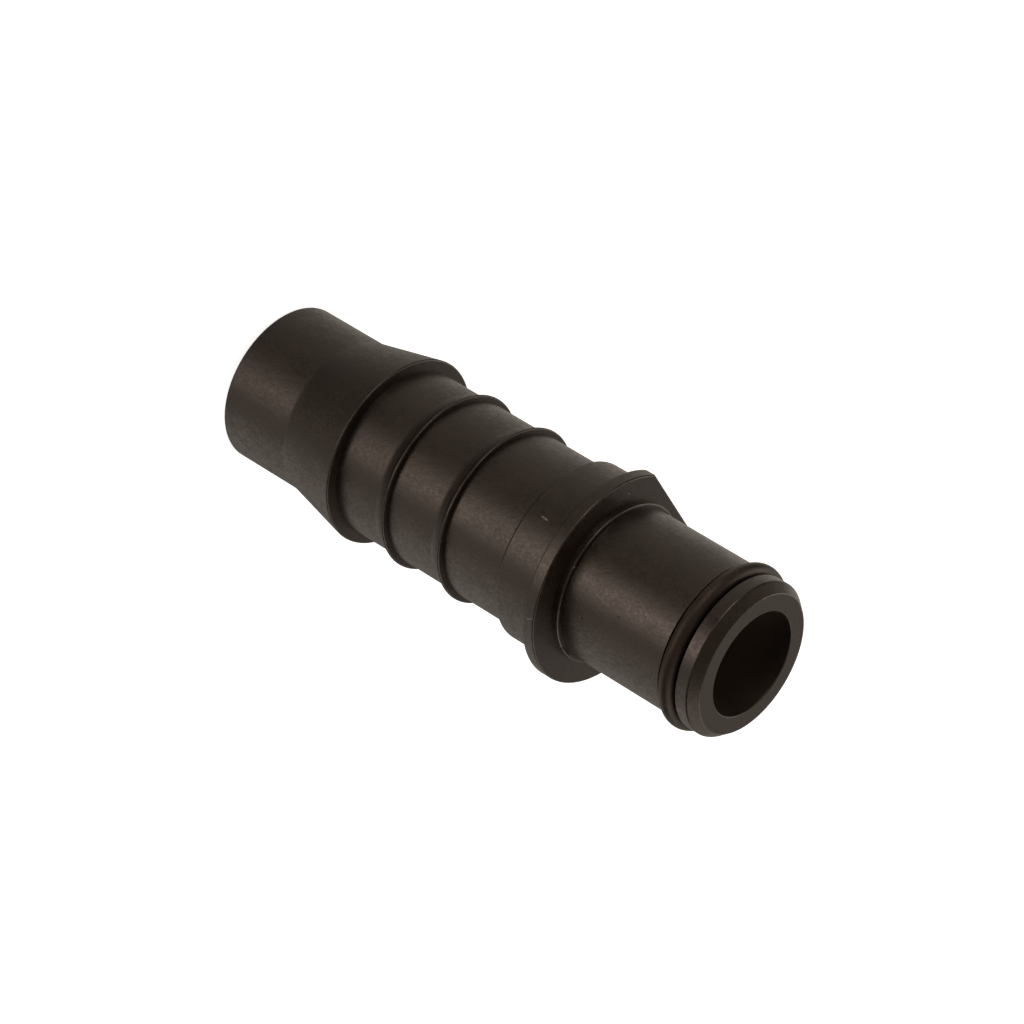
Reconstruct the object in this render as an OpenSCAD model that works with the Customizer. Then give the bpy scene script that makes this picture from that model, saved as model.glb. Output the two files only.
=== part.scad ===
// Straight hose fitting with a barbed tail, a flange with one flat, and a plain spigot with an O-ring near its end.
// Millimetres, +Z up. The origin is on the axis at the hose end's face, and the spigot points up.
// The flange's flat faces -X.

/* [Hose tail] */
// Outer diameter of the plain nose at the hose end
nose_diameter = 18.3; // [16.4:0.1:20]
// Length of the plain nose, up to the cone
nose_length = 9.2; // [5:0.1:14]
// Diameter of the first barb at its edge
barb_diameter = 22; // [20.4:0.1:26]
// Length of the cone from the nose to the barb's edge
cone_length = 8.6; // [6:0.1:13]
// Diameter of the stem between the barbs
stem_diameter = 19.3; // [18.4:0.1:20]
// Diameter of the two small rings at their edge
ring_diameter = 20.9; // [20:0.1:24]
// Length of each small ring's slope
ring_slope = 1.55; // [0.8:0.05:3]
// Distance from the barb's edge to the first small ring's edge
first_ring_distance = 7.7; // [5:0.1:11]
// Distance from one small ring's edge to the next
ring_pitch = 8.2; // [5:0.05:11]
// Distance from the last small ring's edge to the collar
last_ring_distance = 8.3; // [4:0.1:14]

/* [Collar and flange] */
// Diameter of the collar behind the flange
collar_diameter = 21; // [20:0.1:22]
// Length of the collar
collar_length = 5.4; // [2:0.1:10]
// Diameter of the flange
flange_diameter = 24.1; // [23:0.1:30]
// Thickness of the flange
flange_thickness = 1.5; // [1:0.1:4]
// Distance from the axis to the flange's flat
flat_distance = 10.5; // [10.1:0.1:11.4]

/* [Spigot] */
// Diameter of the low ring at the spigot's root
root_ring_diameter = 18.5; // [17.9:0.1:19]
// Length of the low ring
root_ring_length = 0.8; // [0.5:0.05:1.5]
// Diameter of the spigot
spigot_diameter = 17.6; // [17:0.1:17.8]
// Length of the spigot between the low ring and the O-ring groove
spigot_length = 13.5; // [8:0.5:30]
// Diameter of the end lip beyond the groove
lip_diameter = 17.8; // [17.2:0.1:18.4]
// Length of the end lip at its full diameter
lip_length = 1.5; // [0.8:0.1:4]
// Length of the chamfer at the spigot's end
chamfer_length = 1.1; // [0.4:0.05:2]
// Depth of the chamfer, measured towards the axis
chamfer_depth = 0.9; // [0.3:0.05:1.2]

/* [O-ring and groove] */
// Thickness of the O-ring's round section
ring_section = 1.78; // [1.5:0.01:2]
// Diameter of the groove's floor
groove_floor_diameter = 15.5; // [15:0.1:16]
// Gap between the O-ring and the groove's floor
floor_clearance = 0.02; // [0.01:0.01:0.1]
// Gap between the O-ring and the groove's wall on the spigot's side
rear_clearance = 0.2; // [0.05:0.01:0.6]
// Gap between the O-ring and the groove's wall on the lip's side
front_clearance = 0.42; // [0.05:0.01:0.6]

/* [Bore] */
// Diameter of the bore through the whole fitting
bore_diameter = 12; // [9:0.5:13]
// Size of the small chamfer at each end of the bore
bore_edge = 0.12; // [0.05:0.01:0.3]

/* [Edges] */
// Radius of the moulding's outer edges
edge_radius = 0.18; // [0.05:0.01:0.3]
// Radius of the rear edges of the collar and the flange
rear_edge_radius = 0.35; // [0.1:0.05:0.5]
// Radius of the blunt corner between the nose and the cone
crease_radius = 2; // [0.5:0.5:6]
// Radius of the fillet between the flange and the low ring
root_fillet = 0.1; // [0.05:0.05:0.4]
// Radius of the groove's two outer edges
groove_edge_radius = 0.06; // [0.03:0.01:0.1]
// Radius of the fillet under the first barb
barb_fillet = 0.05; // [0.05:0.05:0.6]
// Radius of the fillet under each small ring
ring_fillet = 0.05; // [0.05:0.05:0.4]

/* [Hidden] */
nose_radius = nose_diameter / 2;
barb_radius = barb_diameter / 2;
stem_radius = stem_diameter / 2;
small_ring_radius = ring_diameter / 2;
collar_radius = collar_diameter / 2;
flange_radius = flange_diameter / 2;
root_ring_radius = root_ring_diameter / 2;
spigot_radius = spigot_diameter / 2;
lip_radius = lip_diameter / 2;
groove_radius = groove_floor_diameter / 2;
groove_width = rear_clearance + ring_section + front_clearance;
o_ring_mean_radius = groove_radius + floor_clearance + ring_section / 2;

barb_z = nose_length + cone_length;
first_ring_z = barb_z + first_ring_distance;
second_ring_z = first_ring_z + ring_pitch;
collar_z = second_ring_z + last_ring_distance;
flange_z = collar_z + collar_length;
flange_middle_z = flange_z + flange_thickness / 2;
flange_top_z = flange_z + flange_thickness;
root_ring_z = flange_top_z + root_ring_length;
groove_z = root_ring_z + spigot_length;
lip_z = groove_z + groove_width;
o_ring_z = groove_z + rear_clearance + ring_section / 2;
chamfer_z = lip_z + lip_length;
total_length = chamfer_z + chamfer_length;

moulding_color = [0.10, 0.09, 0.08];
rubber_color = [0.04, 0.035, 0.03];
cut_margin = 1;
corner_steps = 4;
$fn = 96;

// Direction from one point to another, with length one
function direction(from, to) = (to - from) / norm(to - from);

// Points of an arc that rounds the corner between two neighbouring points; a corner is [radius, height, rounding]
function rounded_corner(before, corner, after) =
    let (
        point = [corner[0], corner[1]],
        to_before = direction(point, [before[0], before[1]]),
        to_after = direction(point, [after[0], after[1]]),
        half_angle = acos(to_before * to_after) / 2,
        room = 0.45 * min(norm([before[0], before[1]] - point), norm([after[0], after[1]] - point)),
        rounding = min(corner[2], room * tan(half_angle)),
        centre = point + direction([0, 0], to_before + to_after) * rounding / sin(half_angle),
        first = point + to_before * rounding / tan(half_angle) - centre,
        last = point + to_after * rounding / tan(half_angle) - centre,
        start_angle = atan2(first[1], first[0]),
        turn = atan2(last[1], last[0]) - start_angle,
        sweep = turn > 180 ? turn - 360 : turn < -180 ? turn + 360 : turn
    )
    [
        for (step = [0 : corner_steps])
            let (angle = start_angle + sweep * step / corner_steps)
            centre + rounding * [cos(angle), sin(angle)]
    ];

// Outline through all the corners, rounded where a corner has a rounding
function rounded_outline(corners) = [
    for (index = [0 : len(corners) - 1])
        let (
            corner = corners[index],
            before = corners[(index + len(corners) - 1) % len(corners)],
            after = corners[(index + 1) % len(corners)],
            points = corner[2] > 0 ? rounded_corner(before, corner, after) : [[corner[0], corner[1]]]
        )
        for (point = points) point
];

// Hose tail from the nose to the middle of the flange
tail_corners = [
    [0, 0, 0],
    [nose_radius, 0, edge_radius],
    [nose_radius, nose_length, crease_radius],
    [barb_radius, barb_z, edge_radius],
    [stem_radius, barb_z, barb_fillet],
    [stem_radius, first_ring_z - ring_slope, 0],
    [small_ring_radius, first_ring_z, edge_radius],
    [stem_radius, first_ring_z, ring_fillet],
    [stem_radius, second_ring_z - ring_slope, 0],
    [small_ring_radius, second_ring_z, edge_radius],
    [stem_radius, second_ring_z, ring_fillet],
    [stem_radius, collar_z, 0],
    [collar_radius, collar_z, rear_edge_radius],
    [collar_radius, flange_middle_z, 0]
];

// Spigot from the middle of the flange to its end, inside the low ring
spigot_corners = [
    [spigot_radius, flange_middle_z, 0],
    [spigot_radius, groove_z, groove_edge_radius],
    [groove_radius, groove_z, 0],
    [groove_radius, lip_z, 0],
    [lip_radius, lip_z, groove_edge_radius],
    [lip_radius, chamfer_z, edge_radius],
    [lip_radius - chamfer_depth, total_length, edge_radius],
    [0, total_length, 0]
];

// Section of the flange disc and the low ring on it
flange_corners = [
    [0, flange_z, 0],
    [flange_radius, flange_z, rear_edge_radius],
    [flange_radius, flange_top_z, edge_radius],
    [root_ring_radius, flange_top_z, root_fillet],
    [root_ring_radius, root_ring_z, edge_radius],
    [0, root_ring_z, 0]
];

// Flange disc and low ring, with the disc's flat cut on the -X side
module flange() {
    difference() {
        rotate_extrude()
            polygon(rounded_outline(flange_corners));
        translate([-flat_distance - flange_radius, -flange_radius, flange_z - cut_margin])
            cube([flange_radius, flange_diameter, flange_thickness + 2 * cut_margin]);
    }
}

// Bore with a small chamfer at each end
module bore_cut() {
    bore_radius = bore_diameter / 2;
    translate([0, 0, -cut_margin])
        cylinder(h = total_length + 2 * cut_margin, r = bore_radius);
    translate([0, 0, -bore_edge])
        cylinder(h = 2 * bore_edge, r1 = bore_radius + 2 * bore_edge, r2 = bore_radius);
    translate([0, 0, total_length - bore_edge])
        cylinder(h = 2 * bore_edge, r1 = bore_radius, r2 = bore_radius + 2 * bore_edge);
}

// One-piece moulding: hose tail, collar, flange and spigot
module fitting_body() {
    color(moulding_color)
        difference() {
            union() {
                rotate_extrude()
                    polygon(rounded_outline(concat(tail_corners, spigot_corners)));
                flange();
            }
            bore_cut();
        }
}

// O-ring as it sits in its groove
module o_ring() {
    color(rubber_color)
        translate([0, 0, o_ring_z])
            rotate_extrude()
                translate([o_ring_mean_radius, 0])
                    circle(d = ring_section, $fn = 48);
}

fitting_body();
o_ring();
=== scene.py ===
"""Barbed hose fitting that stands on its hose end.

It is a black moulding with a rubber O-ring in the groove near its spigot end.
"""

import logging
import math
from dataclasses import dataclass, field
from enum import Enum
from typing import Any, ClassVar

import bmesh
import bpy
from mathutils import Matrix, Vector


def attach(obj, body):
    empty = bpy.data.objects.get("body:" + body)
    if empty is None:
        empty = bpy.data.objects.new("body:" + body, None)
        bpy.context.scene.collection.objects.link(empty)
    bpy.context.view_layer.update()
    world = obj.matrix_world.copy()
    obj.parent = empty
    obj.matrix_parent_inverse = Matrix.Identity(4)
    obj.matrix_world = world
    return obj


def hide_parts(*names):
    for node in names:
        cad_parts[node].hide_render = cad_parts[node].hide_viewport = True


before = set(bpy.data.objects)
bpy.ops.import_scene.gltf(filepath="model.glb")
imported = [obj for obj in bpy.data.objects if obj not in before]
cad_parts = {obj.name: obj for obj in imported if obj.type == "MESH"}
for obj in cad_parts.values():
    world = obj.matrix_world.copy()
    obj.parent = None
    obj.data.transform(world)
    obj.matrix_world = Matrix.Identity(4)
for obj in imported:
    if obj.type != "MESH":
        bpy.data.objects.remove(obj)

MM = 0.001
BODY = "root"

log = logging.getLogger("hose_fitting")
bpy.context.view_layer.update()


class Value:
    """A number that leaves a socket. Python's own operators on it add Math nodes."""

    def __init__(self, graph: "Graph", socket: bpy.types.NodeSocket) -> None:
        """Keeps the graph and the socket.

        Args:
            graph: The graph that the socket belongs to.
            socket: The output that carries the number.
        """
        self.graph = graph
        self.socket = socket

    def _math(self, operation: str, *others: Any) -> "Value":
        """Adds one Math node with this value first.

        Args:
            operation: The Math node's operation.
            others: The other operands, as numbers or values.

        Returns:
            The node's result.
        """
        return self.graph.math(operation, self, *others)

    def __add__(self, other: Any) -> "Value":
        """Returns self + other."""
        return self._math("ADD", other)

    def __radd__(self, other: Any) -> "Value":
        """Returns other + self."""
        return self.graph.math("ADD", other, self)

    def __sub__(self, other: Any) -> "Value":
        """Returns self - other."""
        return self._math("SUBTRACT", other)

    def __rsub__(self, other: Any) -> "Value":
        """Returns other - self."""
        return self.graph.math("SUBTRACT", other, self)

    def __mul__(self, other: Any) -> "Value":
        """Returns self * other."""
        return self._math("MULTIPLY", other)

    def __rmul__(self, other: Any) -> "Value":
        """Returns other * self."""
        return self.graph.math("MULTIPLY", other, self)

    def clamped(self) -> "Value":
        """Returns the value held between 0 and 1."""
        return self.graph.math("MINIMUM", self._math("MAXIMUM", 0.0), 1.0)

    def step(self, low: float, high: float) -> "Value":
        """Returns a smooth step from 0 at low to 1 at high.

        Args:
            low: Where the step starts.
            high: Where it ends; lower than low for a falling step.

        Returns:
            The stepped value.
        """
        return Value(
            self.graph,
            self.graph.node(
                "ShaderNodeMapRange",
                {"interpolation_type": "SMOOTHSTEP"},
                {"Value": self, "From Min": low, "From Max": high, "To Min": 0.0, "To Max": 1.0},
            ).outputs[0],
        )


class Graph:
    """A node tree that is filled through one method for every kind of node."""

    MIX_FACTOR = 0
    MIX_LOW = 6
    MIX_HIGH = 7
    MIX_COLOUR = 2
    VECTOR_SCALE = 3

    def __init__(self, tree: bpy.types.NodeTree) -> None:
        """Empties the tree and keeps it.

        Args:
            tree: A material's or a world's node tree.
        """
        self.tree = tree
        tree.nodes.clear()

    def node(
        self,
        kind: str,
        settings: dict[str, Any] | None = None,
        inputs: dict[Any, Any] | None = None,
    ) -> bpy.types.Node:
        """Adds a node, sets it up, then fills its sockets.

        Args:
            kind: The node's type name.
            settings: Properties to set first, such as a Math node's operation.
            inputs: Socket names or numbers, each with a value or a link.

        Returns:
            The new node.
        """
        made = self.tree.nodes.new(kind)
        for name, setting in (settings or {}).items():
            setattr(made, name, setting)
        for name, given in (inputs or {}).items():
            socket = made.inputs[name]
            if isinstance(given, Value):
                self.tree.links.new(given.socket, socket)
            elif isinstance(given, bpy.types.NodeSocket):
                self.tree.links.new(given, socket)
            else:
                socket.default_value = given
        return made

    def math(self, operation: str, *operands: Any) -> Value:
        """Adds a Math node.

        Args:
            operation: The node's operation.
            operands: Numbers or values, in order.

        Returns:
            The node's result.
        """
        inputs = dict(enumerate(operands))
        return Value(self, self.node("ShaderNodeMath", {"operation": operation}, inputs).outputs[0])

    def vector(self, operation: str, first: Any, second: Any, scale: Any = None) -> bpy.types.Node:
        """Adds a Vector Math node.

        Args:
            operation: The node's operation.
            first: The first vector, fixed or as a link.
            second: The second vector, or None.
            scale: The factor of a SCALE operation, or None.

        Returns:
            The node.
        """
        given = {0: first, 1: second, self.VECTOR_SCALE: scale}
        inputs = {name: value for name, value in given.items() if value is not None}
        return self.node("ShaderNodeVectorMath", {"operation": operation}, inputs)

    def scaled(
        self, place: bpy.types.NodeSocket, scale: tuple[float, float, float]
    ) -> bpy.types.NodeSocket:
        """Stretches a position, for lumps that are longer one way.

        Args:
            place: The position.
            scale: Factor along each axis; a small factor makes long lumps.

        Returns:
            The stretched position.
        """
        return self.vector("MULTIPLY", place, scale).outputs[0]

    def dot(self, place: bpy.types.NodeSocket, direction: tuple[float, float, float]) -> Value:
        """Adds a dot product.

        Args:
            place: A direction or position.
            direction: The direction to measure along.

        Returns:
            The length of place along direction.
        """
        return Value(self, self.vector("DOT_PRODUCT", place, direction).outputs["Value"])

    def distance(self, place: bpy.types.NodeSocket, point: Any) -> Value:
        """Adds the distance from a position to a point.

        Args:
            place: The position, in metres.
            point: The point, fixed or as a link, in metres.

        Returns:
            The distance in metres.
        """
        return Value(self, self.vector("DISTANCE", place, point).outputs["Value"])

    def bumped(self, height: Value) -> bpy.types.NodeSocket:
        """Adds a Bump node.

        Args:
            height: The height of the surface, in metres.

        Returns:
            The bumped normal.
        """
        inputs = {"Strength": 1.0, "Distance": 1.0, "Height": height}
        return self.node("ShaderNodeBump", None, inputs).outputs[0]

    def tint(
        self, amount: Value, low: tuple[float, float, float], high: tuple[float, float, float]
    ) -> bpy.types.NodeSocket:
        """Mixes two colours.

        Args:
            amount: 0 for low, 1 for high.
            low: The first colour.
            high: The second colour.

        Returns:
            The mixed colour.
        """
        return self.blend(amount, (*low, 1.0), (*high, 1.0))

    def blend(self, amount: Any, low: Any, high: Any) -> bpy.types.NodeSocket:
        """Mixes two colours, each a colour with its alpha or the socket that carries one.

        Args:
            amount: 0 for low, 1 for high.
            low: The first colour.
            high: The second colour.

        Returns:
            The mixed colour.
        """
        inputs = {self.MIX_FACTOR: amount, self.MIX_LOW: low, self.MIX_HIGH: high}
        made = self.node("ShaderNodeMix", {"data_type": "RGBA"}, inputs)
        return made.outputs[self.MIX_COLOUR]


@dataclass(frozen=True)
class Lumps:
    """One layer of smooth noise in a finish."""

    size_mm: float
    stretch: float = 1.0
    detail: float = 0.0
    roughness: float = 0.6
    distortion: float = 0.0

    def spread(self, graph: Graph, place: bpy.types.NodeSocket) -> Value:
        """Adds the noise.

        Args:
            graph: The material's graph.
            place: The position that the noise reads, in metres.

        Returns:
            The noise, about 0.5 on average. A stretch below 1 makes its lumps longer along the axis.
        """
        made = graph.node(
            "ShaderNodeTexNoise",
            None,
            {
                "Vector": graph.scaled(place, (1.0, 1.0, self.stretch)),
                "Scale": 1.0 / (self.size_mm * MM),
                "Detail": self.detail,
                "Roughness": self.roughness,
                "Distortion": self.distortion,
            },
        )
        return Value(graph, made.outputs["Fac"])


class MarkKind(Enum):
    """What a small mark does to the surface."""

    PIP = "raised"
    DENT = "sunk"
    # Also used for painted highlight flecks, which are sunk and whitened like nicks.
    NICK_AND_GLINT = "sunk and whitened"


@dataclass(frozen=True)
class Mark:
    """A small mark on the surface. It runs from one angle and height to another."""

    kind: MarkKind
    radius_mm: float
    start: tuple[float, float]
    end: tuple[float, float]
    size_mm: float
    depth_mm: float = 0.02
    outer_share: ClassVar[float] = 0.6
    inner_share: ClassVar[float] = 0.2

    def point(self, place: tuple[float, float]) -> Vector:
        """Finds a point on the surface.

        Args:
            place: Angle round the axis in degrees, and height in millimetres.

        Returns:
            The point in metres.
        """
        angle = math.radians(place[0])
        reach = self.radius_mm * MM
        return Vector((reach * math.cos(angle), reach * math.sin(angle), place[1] * MM))

    def cover(self, graph: Graph, place: bpy.types.NodeSocket) -> Value:
        """Measures how much of a place the mark covers.

        Args:
            graph: The material's graph.
            place: The position, in metres.

        Returns:
            1 on the mark's line and 0 away from it.
        """
        start = self.point(self.start)
        run = self.point(self.end) - start
        nearest: Any = tuple(start)
        if run.length > 0.0:
            offset = graph.vector("SUBTRACT", place, tuple(start)).outputs[0]
            share = graph.dot(offset, tuple(run / run.length_squared)).clamped()
            step = graph.vector("SCALE", tuple(run), None, share).outputs[0]
            nearest = graph.vector("ADD", step, tuple(start)).outputs[0]
        size = self.size_mm * MM
        return graph.distance(place, nearest).step(size * self.outer_share, size * self.inner_share)


@dataclass(frozen=True)
class MouldedPlastic:
    """Warm black moulded plastic with a satin skin, flow mottle and fine grain, painted light in its
    bore and a few painted highlight flecks.
    """

    name: str = "satin_black_moulding"
    dark: tuple[float, float, float] = (0.0072, 0.0043, 0.0020)
    light: tuple[float, float, float] = (0.0114, 0.0073, 0.0037)
    sheen: tuple[float, float, float] = (1.0, 0.88, 0.83)
    ior: float = 1.54
    flow: Lumps = Lumps(size_mm=2.4, stretch=0.55, detail=3.0, roughness=0.55, distortion=0.6)
    mottle: Lumps = Lumps(size_mm=0.7, stretch=0.7, detail=2.0, roughness=0.4, distortion=0.9)
    grain: Lumps = Lumps(size_mm=0.16)
    speckle: Lumps = Lumps(size_mm=0.30, stretch=0.75, detail=1.0)
    flow_share: float = 0.6
    tone_range: tuple[float, float] = (0.3, 0.7)
    roughness: float = 0.42
    roughness_spread: float = 0.16
    grain_depth_mm: float = 0.0035
    wave_depth_mm: float = 0.017
    polish: float = 0.06
    polish_from_mm: float = 5.0
    polish_to_mm: float = 62.0
    bore_skin_mm: tuple[float, float] = (6.1, 6.02)
    # Painted light: the bore's wall is coloured lighter than the skin, lighter still deep inside,
    # standing for light that reaches into the bore.
    bore_painted_light_fade_mm: tuple[float, float] = (60.5, 68.0)
    bore_mouth_painted_light: tuple[float, float, float] = (0.018, 0.0132, 0.0097)
    bore_deep_painted_light: tuple[float, float, float] = (0.11, 0.082, 0.060)
    speckle_spread: float = 0.21
    fleck_range: tuple[float, float] = (0.54, 0.76)
    fleck_polish: float = 0.05
    # Colour of whitened nicks and of painted highlight flecks.
    whitened: tuple[float, float, float, float] = (0.16, 0.145, 0.125, 1.0)
    marks: tuple[Mark, ...] = (
        Mark(MarkKind.NICK_AND_GLINT, 10.5, (-87.05, 44.0), (-86.9, 44.7), 0.2),
        Mark(MarkKind.NICK_AND_GLINT, 12.05, (-36.1, 48.05), (-37.5, 48.6), 0.18),
        Mark(MarkKind.NICK_AND_GLINT, 10.45, (-131.3, 48.9), (-131.3, 48.9), 0.24),
        Mark(MarkKind.NICK_AND_GLINT, 9.2, (-71.3, 49.7), (-71.3, 49.7), 0.28),
        Mark(MarkKind.PIP, 9.25, (-4.0, 49.7), (6.0, 49.7), 0.6, 0.08),
        Mark(MarkKind.DENT, 8.8, (-95.2, 50.9), (-98.8, 52.5), 0.3, 0.006),
        Mark(MarkKind.PIP, 8.8, (-91.4, 51.3), (-96.9, 52.5), 0.3, 0.006),
        # Painted highlight: these four small whitened spots on the spigot stand for bright flecks in
        # the highlight.
        Mark(MarkKind.NICK_AND_GLINT, 8.8, (-71.0, 52.5), (-71.2, 52.7), 0.16),
        Mark(MarkKind.NICK_AND_GLINT, 8.8, (-66.1, 51.9), (-66.1, 51.9), 0.18),
        Mark(MarkKind.NICK_AND_GLINT, 8.8, (-66.5, 54.1), (-66.4, 54.3), 0.16),
        Mark(MarkKind.NICK_AND_GLINT, 8.8, (-61.1, 52.2), (-61.1, 52.2), 0.16),
        Mark(MarkKind.DENT, 8.8, (-57.4, 56.7), (-57.4, 56.7), 0.3, 0.04),
        Mark(MarkKind.DENT, 8.8, (-43.0, 52.5), (-43.0, 52.5), 0.25, 0.03),
        Mark(MarkKind.PIP, 10.13, (-88.0, 13.5), (-88.0, 14.1), 0.22, 0.02),
    )

    def material(self) -> bpy.types.Material:
        """Builds the material.

        Returns:
            The finished material.
        """
        made = bpy.data.materials.new(self.name)
        made.use_nodes = True
        graph = Graph(made.node_tree)
        place = graph.node("ShaderNodeTexCoord").outputs["Object"]
        flow = self.flow.spread(graph, place)
        mottle = self.mottle.spread(graph, place)
        grain = self.grain.spread(graph, place)
        speckle = self.speckle.spread(graph, place)
        tone = (flow * self.flow_share + mottle * (1.0 - self.flow_share)).step(*self.tone_range)
        up = graph.dot(place, (0.0, 0.0, 1.0))
        rise = up.step(self.polish_from_mm * MM, self.polish_to_mm * MM)
        across = graph.distance(graph.scaled(place, (1.0, 1.0, 0.0)), (0.0, 0.0, 0.0))
        inside = across.step(self.bore_skin_mm[0] * MM, self.bore_skin_mm[1] * MM)
        spread = (mottle + flow - 1.0) * self.roughness_spread
        flecks = speckle.step(*self.fleck_range) * self.fleck_polish
        glint = (speckle - 0.5) * self.speckle_spread + flecks
        rough = self.roughness + spread + (0.5 - rise) * self.polish - glint * (1.0 - inside)
        skin = graph.tint(tone, self.dark, self.light)
        height = mottle * (self.wave_depth_mm * MM) + grain * (self.grain_depth_mm * MM)
        # Painted light in the bore: lightest deep inside, fading darker towards the open end.
        painted_light_fade = up.step(self.bore_painted_light_fade_mm[0] * MM, self.bore_painted_light_fade_mm[1] * MM)
        bore = graph.tint(painted_light_fade, self.bore_deep_painted_light, self.bore_mouth_painted_light)
        # Whitening from nicks, and painted highlight flecks.
        white: Any = 0.0
        for mark in self.marks:
            cover = mark.cover(graph, place)
            sign = 1.0 if mark.kind is MarkKind.PIP else -1.0
            height = height + cover * (sign * mark.depth_mm * MM)
            if mark.kind is MarkKind.NICK_AND_GLINT:
                white = graph.math("MAXIMUM", white, cover)
        bump = graph.bumped(height)
        shader = graph.node(
            "ShaderNodeBsdfPrincipled",
            None,
            {
                # Base colour: the skin, the bore's painted light, and whitened nicks together with
                # painted highlight flecks.
                "Base Color": graph.blend(white, graph.blend(inside, skin, bore), self.whitened),
                "Roughness": rough.clamped(),
                "IOR": self.ior,
                "Specular Tint": (*self.sheen, 1.0),
                "Normal": bump,
            },
        )
        graph.node("ShaderNodeOutputMaterial", None, {"Surface": shader.outputs[0]})
        return made


@dataclass(frozen=True)
class BlackRubber:
    """Matte black rubber with a fine bloom and fine grain."""

    name: str = "matte_black_rubber"
    dark: tuple[float, float, float] = (0.0215, 0.0150, 0.0115)
    light: tuple[float, float, float] = (0.0300, 0.0212, 0.0165)
    sheen: tuple[float, float, float] = (1.0, 0.84, 0.78)
    ior: float = 1.5
    specular_level: float = 0.22
    bloom: Lumps = Lumps(size_mm=1.6, detail=3.0)
    grain: Lumps = Lumps(size_mm=0.12, detail=2.0)
    tone_range: tuple[float, float] = (0.3, 0.7)
    roughness: float = 0.44
    roughness_spread: float = 0.14
    grain_depth_mm: float = 0.012

    def material(self) -> bpy.types.Material:
        """Builds the material.

        Returns:
            The finished material.
        """
        made = bpy.data.materials.new(self.name)
        made.use_nodes = True
        graph = Graph(made.node_tree)
        place = graph.node("ShaderNodeTexCoord").outputs["Object"]
        bloom = self.bloom.spread(graph, place)
        grain = self.grain.spread(graph, place)
        rough = self.roughness + (bloom - 0.5) * self.roughness_spread
        bump = graph.bumped(grain * (self.grain_depth_mm * MM))
        shader = graph.node(
            "ShaderNodeBsdfPrincipled",
            None,
            {
                "Base Color": graph.tint(bloom.step(*self.tone_range), self.dark, self.light),
                "Roughness": rough.clamped(),
                "IOR": self.ior,
                "Specular IOR Level": self.specular_level,
                "Specular Tint": (*self.sheen, 1.0),
                "Normal": bump,
            },
        )
        graph.node("ShaderNodeOutputMaterial", None, {"Surface": shader.outputs[0]})
        return made


@dataclass(frozen=True)
class Corner:
    """One corner of a turned outline, in millimetres."""

    radius: float
    height: float
    rounding: float = 0.0


class Outline:
    """A closed outline that is turned round the axis, with rounded corners and evenly spaced rings."""

    LARGEST_SHARE = 0.45
    SHORTEST_IN_HOLDS = 2.5

    def __init__(
        self, corners: list[Corner], ring_step: float, arc_steps: int = 5, hold: float = 0.05
    ) -> None:
        """Rounds the corners and spaces the rings.

        Args:
            corners: The corners in order, closed from the last to the first.
            ring_step: Longest distance between two rings, in millimetres.
            arc_steps: Number of steps in each rounded corner.
            hold: Distance from a corner to the ring that keeps the next face flat.
        """
        self.points: list[Vector] = []
        spans = [self._round(corners, index, arc_steps) for index in range(len(corners))]
        for index, span in enumerate(spans):
            self.points.extend(span)
            following = spans[(index + 1) % len(spans)]
            self.points.extend(self._rings(span[-1], following[0], ring_step, hold))

    @classmethod
    def _round(cls, corners: list[Corner], index: int, steps: int) -> list[Vector]:
        """Rounds one corner.

        Args:
            corners: All corners.
            index: The corner to round.
            steps: Number of steps in the arc.

        Returns:
            The points that stand for the corner.
        """
        corner = corners[index]
        before, after = corners[index - 1], corners[(index + 1) % len(corners)]
        point = Vector((corner.radius, corner.height))
        if corner.rounding <= 0:
            return [point]
        to_before = Vector((before.radius, before.height)) - point
        to_after = Vector((after.radius, after.height)) - point
        room = cls.LARGEST_SHARE * min(to_before.length, to_after.length)
        to_before.normalize()
        to_after.normalize()
        half = to_before.angle(to_after) / 2
        rounding = min(corner.rounding, room * math.tan(half))
        centre = point + (to_before + to_after).normalized() * rounding / math.sin(half)
        first = point + to_before * rounding / math.tan(half) - centre
        last = point + to_after * rounding / math.tan(half) - centre
        start = math.atan2(first.y, first.x)
        turn = (math.atan2(last.y, last.x) - start + math.pi) % (2 * math.pi) - math.pi
        angles = [start + turn * step / steps for step in range(steps + 1)]
        return [centre + rounding * Vector((math.cos(angle), math.sin(angle))) for angle in angles]

    @classmethod
    def _rings(cls, start: Vector, end: Vector, ring_step: float, hold: float) -> list[Vector]:
        """Places rings along a straight stretch.

        Args:
            start: The stretch's first point.
            end: Its last point.
            ring_step: Longest distance between two rings.
            hold: Distance from each end to its holding ring.

        Returns:
            The points strictly between the two ends.
        """
        length = (end - start).length
        if length < cls.SHORTEST_IN_HOLDS * hold:
            return []
        inner = length - 2 * hold
        count = max(1, math.ceil(inner / ring_step))
        places = [hold + inner * index / count for index in range(count + 1)]
        return [start.lerp(end, place / length) for place in places]


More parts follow.
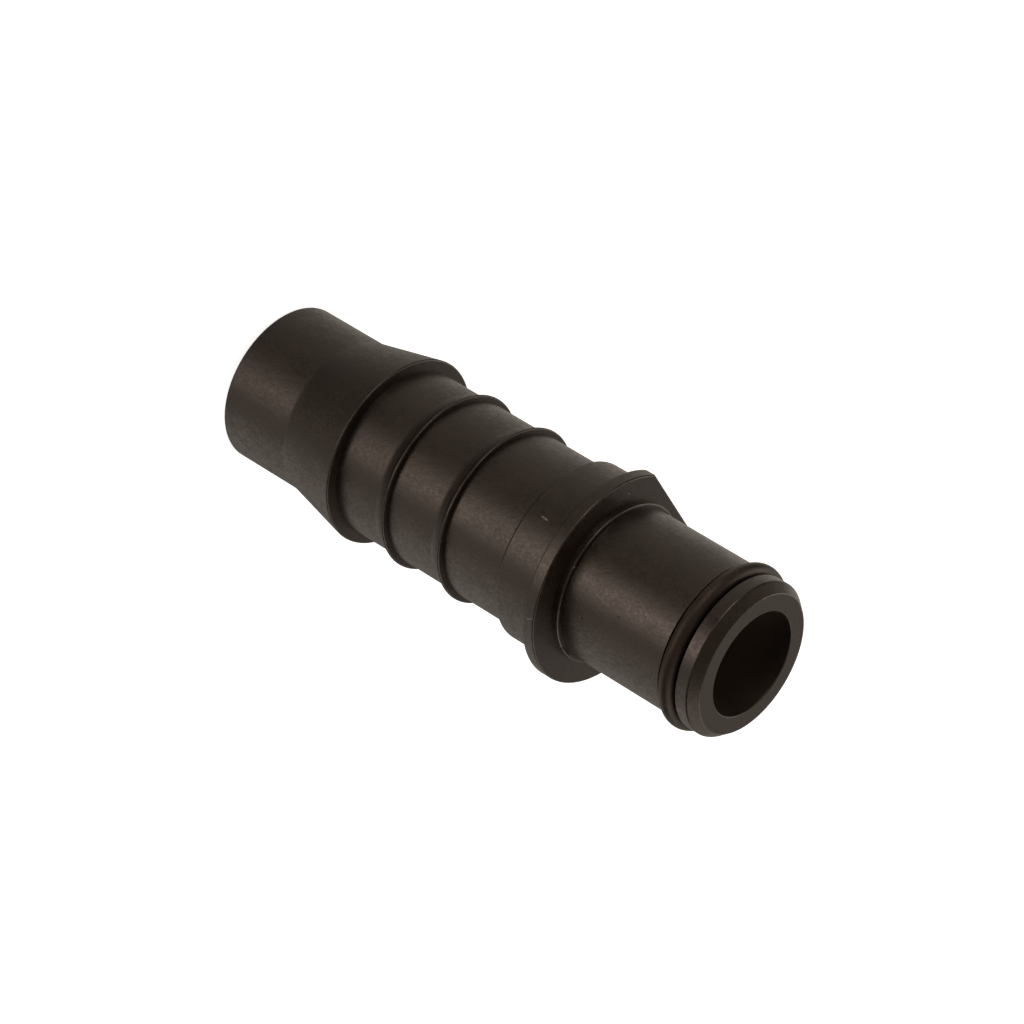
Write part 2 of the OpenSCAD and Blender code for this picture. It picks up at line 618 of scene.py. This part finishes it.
@dataclass
class FittingBody:
    """The one-piece moulding: hose tail, collar, flange and spigot. Sizes are in millimetres."""

    length: float = 68.2
    nose_radius: float = 9.15
    nose_length: float = 9.2
    barb_radius: float = 11.0
    barb_height: float = 17.8
    stem_radius: float = 9.65
    ring_radius: float = 10.45
    ring_slope: float = 1.55
    ring_heights: tuple[float, float] = (25.5, 33.7)
    collar_radius: float = 10.5
    collar_height: float = 42.0
    flange_radius: float = 12.05
    flange_height: float = 47.4
    flange_thickness: float = 1.5
    flat_distance: float = 10.5
    root_ring_radius: float = 9.25
    root_ring_length: float = 0.8
    spigot_radius: float = 8.8
    groove_height: float = 63.2
    groove_width: float = 2.4
    groove_radius: float = 7.75
    lip_radius: float = 8.9
    lip_length: float = 1.5
    chamfer_depth: float = 0.9
    bore_radius: float = 6.0
    bore_edge: float = 0.12
    edge: float = 0.18
    root_ring_edge: float = 0.4
    lip_edge: float = 0.3
    collar_edge: float = 0.28
    rear_edge: float = 0.15
    crease: float = 2.0
    groove_edge: float = 0.06
    ring_blend: float = 1.5
    ring_hollow: float = 0.08
    segments: int = 320
    ring_step: float = 1.6
    sharp_deg: float = 24.0
    height_slack: float = 1e-4
    rim_margin: float = 0.1
    flat_side_cosine: float = -0.5
    finish: MouldedPlastic = field(default_factory=MouldedPlastic)
    piece: bpy.types.Object | None = None

    def corners(self) -> list[Corner]:
        """Lists the outline's corners, up the outside and down the bore.

        Returns:
            The corners in order.
        """
        flange_top = self.flange_height + self.flange_thickness
        root_top = flange_top + self.root_ring_length
        lip = self.groove_height + self.groove_width
        outside = [
            Corner(self.bore_radius, 0.0, self.bore_edge),
            Corner(self.nose_radius, 0.0, self.edge),
            Corner(self.nose_radius, self.nose_length, self.crease),
            Corner(self.barb_radius, self.barb_height, self.edge),
            Corner(self.stem_radius, self.barb_height),
        ]
        middle = (self.stem_radius + self.ring_radius) / 2 - self.ring_hollow
        for height in self.ring_heights:
            outside += [
                Corner(self.stem_radius, height - self.ring_slope, self.ring_blend),
                Corner(middle, height - self.ring_slope / 2, self.ring_blend),
                Corner(self.ring_radius, height, self.edge),
                Corner(self.stem_radius, height),
            ]
        outside += [
            Corner(self.stem_radius, self.collar_height),
            Corner(self.collar_radius, self.collar_height, self.collar_edge),
            Corner(self.collar_radius, self.flange_height),
            Corner(self.flange_radius, self.flange_height, self.rear_edge),
            Corner(self.flange_radius, flange_top, self.edge),
            Corner(self.root_ring_radius, flange_top),
            Corner(self.root_ring_radius, root_top, self.root_ring_edge),
            Corner(self.spigot_radius, root_top),
            Corner(self.spigot_radius, self.groove_height, self.groove_edge),
            Corner(self.groove_radius, self.groove_height),
            Corner(self.groove_radius, lip),
            Corner(self.lip_radius, lip, self.groove_edge),
            Corner(self.lip_radius, lip + self.lip_length, self.lip_edge),
            Corner(self.lip_radius - self.chamfer_depth, self.length, self.edge),
            Corner(self.bore_radius, self.length, self.bore_edge),
        ]
        return outside

    def angles(self) -> list[float]:
        """Spaces the segments round the axis, with one on each end of the flange's flat.

        Returns:
            The angles in radians, in order.
        """
        turn = 2 * math.pi / self.segments
        angles = [index * turn for index in range(self.segments)]
        half = math.acos(self.flat_distance / self.flange_radius)
        for end in (math.pi - half, math.pi + half):
            nearest = min(range(self.segments), key=lambda index: abs(angles[index] - end))
            angles[nearest] = end
        return angles

    def reach(self, point: Vector, angle: float) -> float:
        """Works out how far a ring's point lies from the axis, drawn in on the flange's flat.

        Args:
            point: The ring's radius and height.
            angle: The point's angle round the axis.

        Returns:
            The distance from the axis in millimetres.
        """
        top = self.flange_height + self.flange_thickness
        on_flange = self.flange_height - self.height_slack <= point.y <= top + self.height_slack
        inner = self.collar_radius if point.y < top - self.height_slack else self.root_ring_radius
        if not on_flange or point.x <= inner or math.cos(angle) > self.flat_side_cosine:
            return point.x
        rim = min(self.flange_radius, self.flat_distance / -math.cos(angle))
        full = self.flange_radius - self.rear_edge - self.rim_margin
        share = min(1.0, (point.x - inner) / (full - inner))
        return point.x + (rim - self.flange_radius) * share

    def build(self) -> None:
        """Turns the outline into a mesh and lets it stand for the CAD node."""
        outline = Outline(self.corners(), self.ring_step)
        angles = self.angles()
        mesh = bmesh.new()
        rings = [
            [
                mesh.verts.new(
                    Vector((math.cos(angle), math.sin(angle), 0.0)) * (self.reach(point, angle) * MM)
                    + Vector((0.0, 0.0, point.y * MM))
                )
                for angle in angles
            ]
            for point in outline.points
        ]
        for index, ring in enumerate(rings):
            above = rings[(index + 1) % len(rings)]
            for side in range(self.segments):
                after = (side + 1) % self.segments
                mesh.faces.new((ring[side], ring[after], above[after], above[side]))
        bmesh.ops.recalc_face_normals(mesh, faces=mesh.faces)
        self.piece = finish_mesh(mesh, "moulding", self.sharp_deg)
        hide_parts("fitting_body")
        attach(self.piece, BODY)

    def dress(self) -> None:
        """Gives the moulding its finish."""
        self.piece.data.materials.append(self.finish.material())


@dataclass
class SealRing:
    """The O-ring in its groove. Sizes are in millimetres."""

    section: float = 1.78
    inner_radius: float = 7.77
    height: float = 64.29
    segments: int = 288
    section_steps: int = 40
    sharp_deg: float = 60.0
    finish: BlackRubber = field(default_factory=BlackRubber)
    piece: bpy.types.Object | None = None

    def build(self) -> None:
        """Builds the ring and lets it stand for the CAD node."""
        mesh = bmesh.new()
        mean = self.inner_radius + self.section / 2
        rings = []
        for side in range(self.segments):
            angle = 2 * math.pi * side / self.segments
            out = Vector((math.cos(angle), math.sin(angle), 0.0))
            ring = []
            for step in range(self.section_steps):
                turn = 2 * math.pi * step / self.section_steps
                reach = mean + self.section / 2 * math.cos(turn)
                rise = self.height + self.section / 2 * math.sin(turn)
                ring.append(mesh.verts.new(out * (reach * MM) + Vector((0.0, 0.0, rise * MM))))
            rings.append(ring)
        for side, ring in enumerate(rings):
            after = rings[(side + 1) % self.segments]
            for step in range(self.section_steps):
                above = (step + 1) % self.section_steps
                mesh.faces.new((ring[step], after[step], after[above], ring[above]))
        bmesh.ops.recalc_face_normals(mesh, faces=mesh.faces)
        self.piece = finish_mesh(mesh, "seal_ring", self.sharp_deg)
        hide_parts("o_ring")
        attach(self.piece, BODY)

    def dress(self) -> None:
        """Gives the ring its finish."""
        self.piece.data.materials.append(self.finish.material())


def finish_mesh(mesh: bmesh.types.BMesh, name: str, sharp_deg: float = 30.0) -> bpy.types.Object:
    """Turns a working mesh into an object with smooth faces and crisp corners.

    Args:
        mesh: The working mesh, which is freed.
        name: The object's name.
        sharp_deg: Corners that turn more than this stay crisp.

    Returns:
        The new object.
    """
    data = bpy.data.meshes.new(name)
    for face in mesh.faces:
        face.smooth = True
    for edge in mesh.edges:
        edge.smooth = edge.calc_face_angle(0.0) < math.radians(sharp_deg)
    mesh.to_mesh(data)
    mesh.free()
    piece = bpy.data.objects.new(name, data)
    bpy.context.scene.collection.objects.link(piece)
    return piece


@dataclass(frozen=True)
class SoftBox:
    """A soft patch of light in the sky round the object."""

    azimuth_deg: float
    elevation_deg: float
    sharpness: float
    strength: float

    def direction(self) -> tuple[float, float, float]:
        """Returns the unit direction from the object to the patch."""
        azimuth, elevation = math.radians(self.azimuth_deg), math.radians(self.elevation_deg)
        return (
            math.cos(azimuth) * math.cos(elevation),
            math.sin(azimuth) * math.cos(elevation),
            math.sin(elevation),
        )


@dataclass
class Studio:
    """The pale floor and the soft light round the object."""

    level: float = 0.195
    warmth: tuple[float, float, float] = (1.11, 1.0, 0.89)
    boxes: tuple[SoftBox, ...] = (
        SoftBox(-67.5, -18.1, 38.4, 3.09),
        SoftBox(-52.9, -23.7, 54.7, 4.37),
        SoftBox(20.9, -22.5, 6.1, 1.62),
        SoftBox(36.6, 28.9, 10.5, 2.9),
        SoftBox(148.5, 31.8, 18.9, 3.24),
        SoftBox(147.1, -35.0, 3.4, 2.13),
        SoftBox(-120.0, 6.0, 60.0, 8.0),
        SoftBox(22.2, 2.0, 10.7, -4.0),
        SoftBox(165.8, 1.9, 11.0, -2.1),
        SoftBox(137.5, -51.8, 4.2, -1.74),
    )
    floor_size: float = 3.0
    floor_drop: float = 0.00003
    floor_colour: tuple[float, float, float, float] = (0.82, 0.82, 0.82, 1.0)
    floor_glow: float = 0.8
    white: tuple[float, float, float, float] = (1.0, 1.0, 1.0, 1.0)

    def build(self) -> None:
        """Builds the floor and the world."""
        self._floor()
        self._world()

    def _floor(self) -> None:
        """Lays the floor, which keeps the object's shadow and is white to the camera elsewhere."""
        mesh = bmesh.new()
        bmesh.ops.create_grid(mesh, x_segments=1, y_segments=1, size=self.floor_size / 2)
        bmesh.ops.translate(mesh, verts=mesh.verts, vec=Vector((0.0, 0.0, -self.floor_drop)))
        floor = finish_mesh(mesh, "floor")
        floor.visible_glossy = False
        made = bpy.data.materials.new("pale_floor")
        made.use_nodes = True
        graph = Graph(made.node_tree)
        seen = Value(graph, graph.node("ShaderNodeLightPath").outputs["Is Camera Ray"])
        paint = graph.node("ShaderNodeBsdfDiffuse", None, {"Color": self.floor_colour})
        shine = {"Color": self.white, "Strength": seen * self.floor_glow}
        glow = graph.node("ShaderNodeEmission", None, shine)
        mixed = graph.node("ShaderNodeAddShader", None, {0: paint.outputs[0], 1: glow.outputs[0]})
        graph.node("ShaderNodeOutputMaterial", None, {"Surface": mixed.outputs[0]})
        floor.data.materials.append(made)

    def _world(self) -> None:
        """Fills the world with a plain level and soft patches; the camera sees plain white."""
        world = bpy.data.worlds.new("soft_studio")
        bpy.context.scene.world = world
        world.use_nodes = True
        graph = Graph(world.node_tree)
        direction = graph.node("ShaderNodeTexCoord").outputs["Generated"]
        total: Any = self.level
        for box in self.boxes:
            facing = graph.dot(direction, box.direction())
            total = total + box.strength * graph.math("EXPONENT", (facing - 1.0) * box.sharpness)
        seen = Value(graph, graph.node("ShaderNodeLightPath").outputs["Is Camera Ray"])
        strength = seen + (1.0 - seen) * graph.math("MAXIMUM", total, 0.0)
        colour = graph.blend(seen, (*self.warmth, 1.0), self.white)
        shade = graph.node("ShaderNodeBackground", None, {"Color": colour, "Strength": strength})
        graph.node("ShaderNodeOutputWorld", None, {"Surface": shade.outputs[0]})


@dataclass(frozen=True)
class PhotoCamera:
    """The camera at the photograph's place, in the row frame."""

    place: tuple[float, float, float] = (0.08838383, -0.37763925, 0.28011685)
    right: tuple[float, float, float] = (-0.60607457, 0.32912232, 0.72412162)
    up: tuple[float, float, float] = (-0.77140801, -0.46515827, -0.43423205)
    lens_mm: float = 152.834
    sensor_mm: float = 36.0
    nearest: float = 0.01
    farthest: float = 10.0

    def build(self) -> None:
        """Adds the camera and makes it the scene's own."""
        data = bpy.data.cameras.new("photo_camera")
        data.lens, data.sensor_width, data.sensor_height = self.lens_mm, self.sensor_mm, self.sensor_mm
        data.sensor_fit = "HORIZONTAL"
        data.clip_start, data.clip_end = self.nearest, self.farthest
        camera = bpy.data.objects.new("photo_camera", data)
        right = Vector(self.right).normalized()
        back = right.cross(Vector(self.up)).normalized()
        turn = Matrix((right, back.cross(right), back)).transposed()
        camera.matrix_world = Matrix.Translation(Vector(self.place)) @ turn.to_4x4()
        bpy.context.scene.collection.objects.link(camera)
        bpy.context.scene.camera = camera


def main() -> None:
    """Builds the studio, the camera and the fitting, and reports each piece."""
    logging.basicConfig(level=logging.INFO, format="%(name)s: %(message)s")
    bpy.context.scene.view_settings.view_transform = "Standard"
    PhotoCamera().build()
    Studio().build()
    for part in (FittingBody(), SealRing()):
        part.build()
        part.dress()
        log.info("%s has %d faces", part.piece.name, len(part.piece.data.polygons))


if __name__ == "__main__":
    main()
